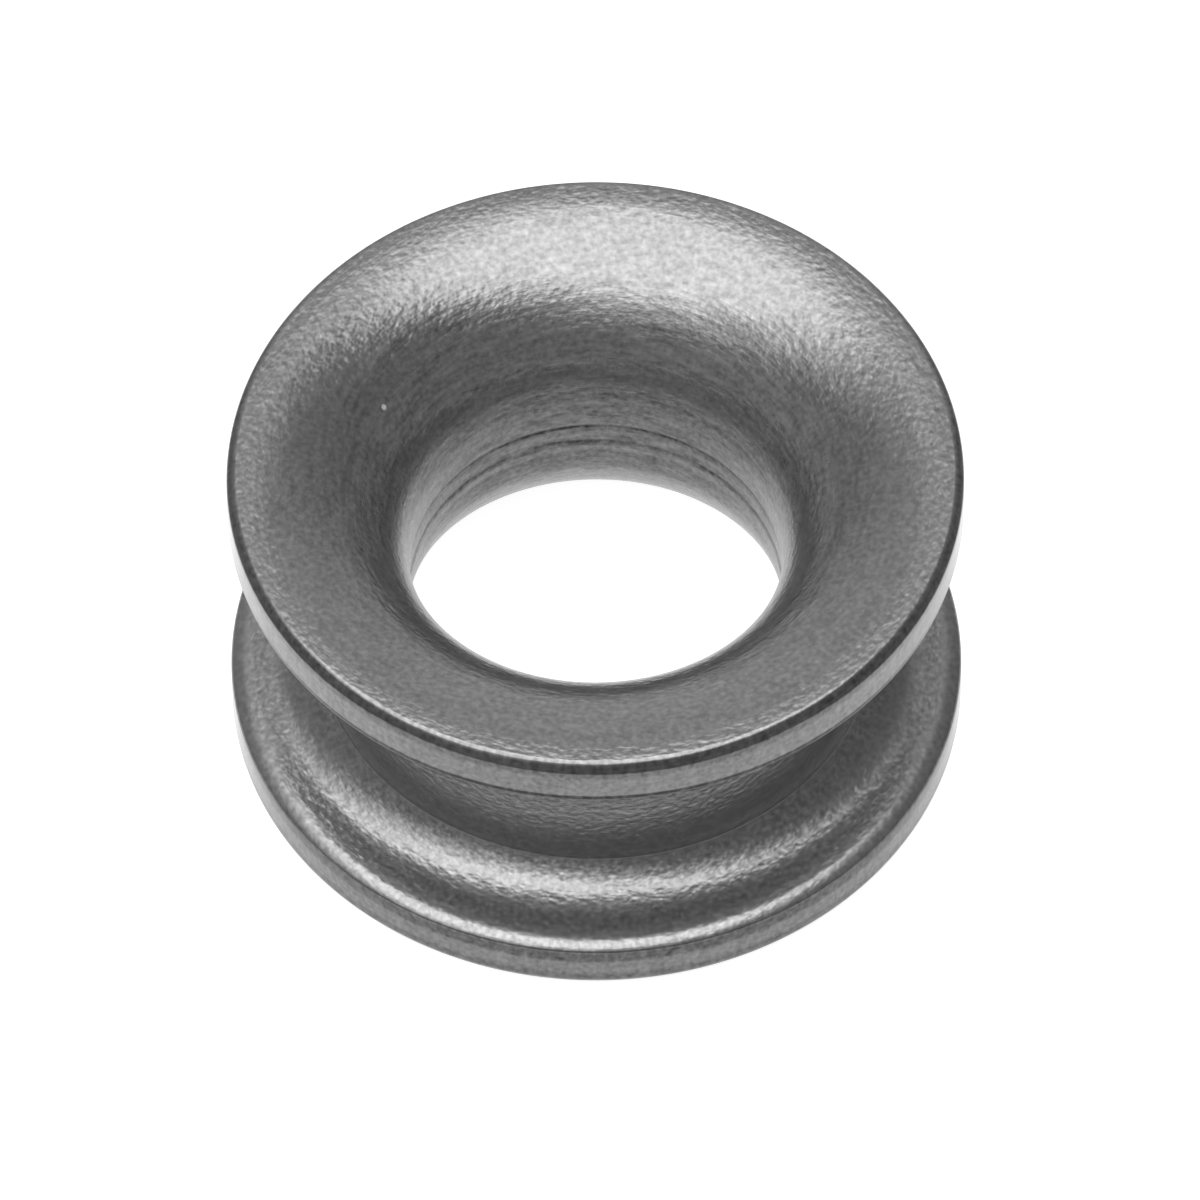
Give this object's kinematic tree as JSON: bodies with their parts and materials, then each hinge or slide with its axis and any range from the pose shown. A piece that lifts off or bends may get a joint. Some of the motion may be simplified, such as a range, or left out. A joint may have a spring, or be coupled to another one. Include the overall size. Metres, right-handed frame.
{
  "type": "rope fairlead eye",
  "caption": "Low-friction ring: a short turned eye with a trumpet-shaped bore for a rope and a rounded groove round the outside for its lashing.",
  "frame": {"origin": "centre of the underside, on the bore's axis", "axes": "+Z along the bore from the underside to the top face; X and Y are equivalent, because the ring is a body of revolution"},
  "size_m": [0.0388, 0.0388, 0.0194],
  "materials": {
    "anodised": "bead blasted and hard anodised dark grey, satin, with faint turning marks"
  },
  "bodies": {
    "root": {"ring": "anodised"}
  },
  "joints": []
}
